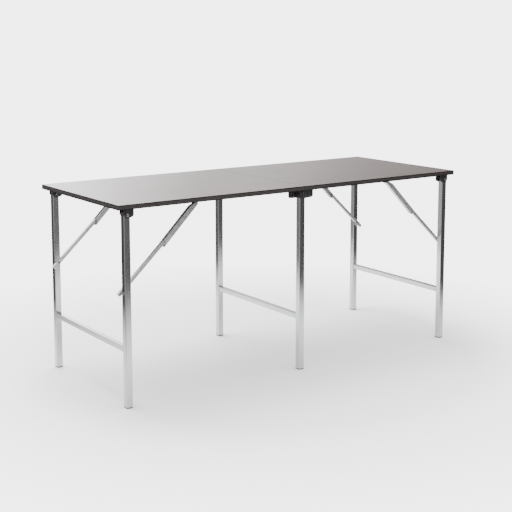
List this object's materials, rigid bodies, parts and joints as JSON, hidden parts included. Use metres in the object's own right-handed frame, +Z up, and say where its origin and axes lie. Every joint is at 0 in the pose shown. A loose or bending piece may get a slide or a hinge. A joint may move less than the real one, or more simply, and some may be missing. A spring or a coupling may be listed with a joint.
{
  "type": "folding table",
  "caption": "Long folding table with a glossy brown two-piece top, square galvanised legs on three frames, and folding braces that lock the end frames.",
  "frame": {"origin": "on the floor under the middle of the open table", "axes": "+X along the table to the right, +Y from the front edge to the rear edge, +Z up"},
  "size_m": [2, 0.78, 0.91],
  "materials": {
    "film_faced_board": "dark brown phenolic film, glossy",
    "edge_strip": "satin brown-black edge strip",
    "galvanised_tube": "zinc-plated steel, satin",
    "black_steel": "black painted steel plate",
    "zinc_fasteners": "bright zinc-plated",
    "foot_plastic": "black moulded plastic"
  },
  "bodies": {
    "middle_frame": {"middle_front_leg": "galvanised_tube", "middle_rear_leg": "galvanised_tube", "middle_crossbar": "galvanised_tube", "middle_foot_plugs": "foot_plastic", "middle_front_outer_plate": "black_steel", "middle_front_inner_plate": "black_steel", "middle_rear_outer_plate": "black_steel", "middle_rear_inner_plate": "black_steel", "middle_plate_bolts": "zinc_fasteners", "middle_fold_pins": "black_steel"},
    "left_top": {"left_board": "film_faced_board", "left_edge_strips": "edge_strip", "left_front_leg_bracket": "black_steel", "left_rear_leg_bracket": "black_steel", "left_front_fold_leaf": "black_steel", "left_rear_fold_leaf": "black_steel", "left_front_brace_anchor": "black_steel", "left_rear_brace_anchor": "black_steel", "left_leg_pivot_bolts": "zinc_fasteners", "left_brace_anchor_pins": "zinc_fasteners", "left_underside_screws": "zinc_fasteners"},
    "left_leg_frame": {"left_front_leg": "galvanised_tube", "left_rear_leg": "galvanised_tube", "left_crossbar": "galvanised_tube", "left_foot_plugs": "foot_plastic", "left_brace_inserts": "zinc_fasteners"},
    "left_front_brace_upper": {"left_front_upper_brace": "galvanised_tube", "left_front_knee_rivets": "zinc_fasteners"},
    "left_front_brace_lower": {"left_front_lower_brace": "galvanised_tube", "left_front_lower_bolt": "zinc_fasteners"},
    "left_rear_brace_upper": {"left_rear_upper_brace": "galvanised_tube", "left_rear_knee_rivets": "zinc_fasteners"},
    "left_rear_brace_lower": {"left_rear_lower_brace": "galvanised_tube", "left_rear_lower_bolt": "zinc_fasteners"},
    "right_top": {"right_board": "film_faced_board", "right_edge_strips": "edge_strip", "right_front_leg_bracket": "black_steel", "right_rear_leg_bracket": "black_steel", "right_front_fold_leaf": "black_steel", "right_rear_fold_leaf": "black_steel", "right_front_brace_anchor": "black_steel", "right_rear_brace_anchor": "black_steel", "right_leg_pivot_bolts": "zinc_fasteners", "right_brace_anchor_pins": "zinc_fasteners", "right_underside_screws": "zinc_fasteners"},
    "right_leg_frame": {"right_front_leg": "galvanised_tube", "right_rear_leg": "galvanised_tube", "right_crossbar": "galvanised_tube", "right_foot_plugs": "foot_plastic", "right_brace_inserts": "zinc_fasteners"},
    "right_front_brace_upper": {"right_front_upper_brace": "galvanised_tube", "right_front_knee_rivets": "zinc_fasteners"},
    "right_front_brace_lower": {"right_front_lower_brace": "galvanised_tube", "right_front_lower_bolt": "zinc_fasteners"},
    "right_rear_brace_upper": {"right_rear_upper_brace": "galvanised_tube", "right_rear_knee_rivets": "zinc_fasteners"},
    "right_rear_brace_lower": {"right_rear_lower_brace": "galvanised_tube", "right_rear_lower_bolt": "zinc_fasteners"}
  },
  "joints": [
    {"name": "left_panel_fold", "type": "hinge", "parent": "middle_frame", "child": "left_top", "pos_m": [-0.036, 0, 0.862], "axis": [0, -1, 0], "range_deg": [0, 20]},
    {"name": "left_leg_fold", "type": "hinge", "parent": "left_top", "child": "left_leg_frame", "pos_m": [-0.95, 0, 0.862], "axis": [0, -1, 0], "range_deg": [0, 87.5]},
    {"name": "left_front_brace_swing", "type": "hinge", "parent": "left_top", "child": "left_front_brace_upper", "pos_m": [-0.578, -0.3315, 0.8735], "axis": [0, -1, 0], "range_deg": [0, 134.27]},
    {"name": "left_front_brace_knee", "type": "hinge", "parent": "left_front_brace_upper", "child": "left_front_brace_lower", "pos_m": [-0.74918, -0.3315, 0.71543], "axis": [0, 1, 0], "range_deg": [0, 174.12]},
    {"name": "left_rear_brace_swing", "type": "hinge", "parent": "left_top", "child": "left_rear_brace_upper", "pos_m": [-0.578, 0.3315, 0.8735], "axis": [0, -1, 0], "range_deg": [0, 134.27]},
    {"name": "left_rear_brace_knee", "type": "hinge", "parent": "left_rear_brace_upper", "child": "left_rear_brace_lower", "pos_m": [-0.74918, 0.3315, 0.71543], "axis": [0, 1, 0], "range_deg": [0, 174.12]},
    {"name": "right_panel_fold", "type": "hinge", "parent": "middle_frame", "child": "right_top", "pos_m": [0.036, 0, 0.862], "axis": [0, 1, 0], "range_deg": [0, 20]},
    {"name": "right_leg_fold", "type": "hinge", "parent": "right_top", "child": "right_leg_frame", "pos_m": [0.95, 0, 0.862], "axis": [0, 1, 0], "range_deg": [0, 87.5]},
    {"name": "right_front_brace_swing", "type": "hinge", "parent": "right_top", "child": "right_front_brace_upper", "pos_m": [0.578, -0.3315, 0.8735], "axis": [0, 1, 0], "range_deg": [0, 134.27]},
    {"name": "right_front_brace_knee", "type": "hinge", "parent": "right_front_brace_upper", "child": "right_front_brace_lower", "pos_m": [0.74918, -0.3315, 0.71543], "axis": [0, -1, 0], "range_deg": [0, 174.12]},
    {"name": "right_rear_brace_swing", "type": "hinge", "parent": "right_top", "child": "right_rear_brace_upper", "pos_m": [0.578, 0.3315, 0.8735], "axis": [0, 1, 0], "range_deg": [0, 134.27]},
    {"name": "right_rear_brace_knee", "type": "hinge", "parent": "right_rear_brace_upper", "child": "right_rear_brace_lower", "pos_m": [0.74918, 0.3315, 0.71543], "axis": [0, -1, 0], "range_deg": [0, 174.12]}
  ],
  "couplings": [
    {"joint": "left_front_brace_swing", "follows": "left_leg_fold", "ratio": 1.5344},
    {"joint": "left_front_brace_knee", "follows": "left_leg_fold", "ratio": 1.9898},
    {"joint": "left_rear_brace_swing", "follows": "left_leg_fold", "ratio": 1.5344},
    {"joint": "left_rear_brace_knee", "follows": "left_leg_fold", "ratio": 1.9898},
    {"joint": "right_front_brace_swing", "follows": "right_leg_fold", "ratio": 1.5344},
    {"joint": "right_front_brace_knee", "follows": "right_leg_fold", "ratio": 1.9898},
    {"joint": "right_rear_brace_swing", "follows": "right_leg_fold", "ratio": 1.5344},
    {"joint": "right_rear_brace_knee", "follows": "right_leg_fold", "ratio": 1.9898}
  ]
}
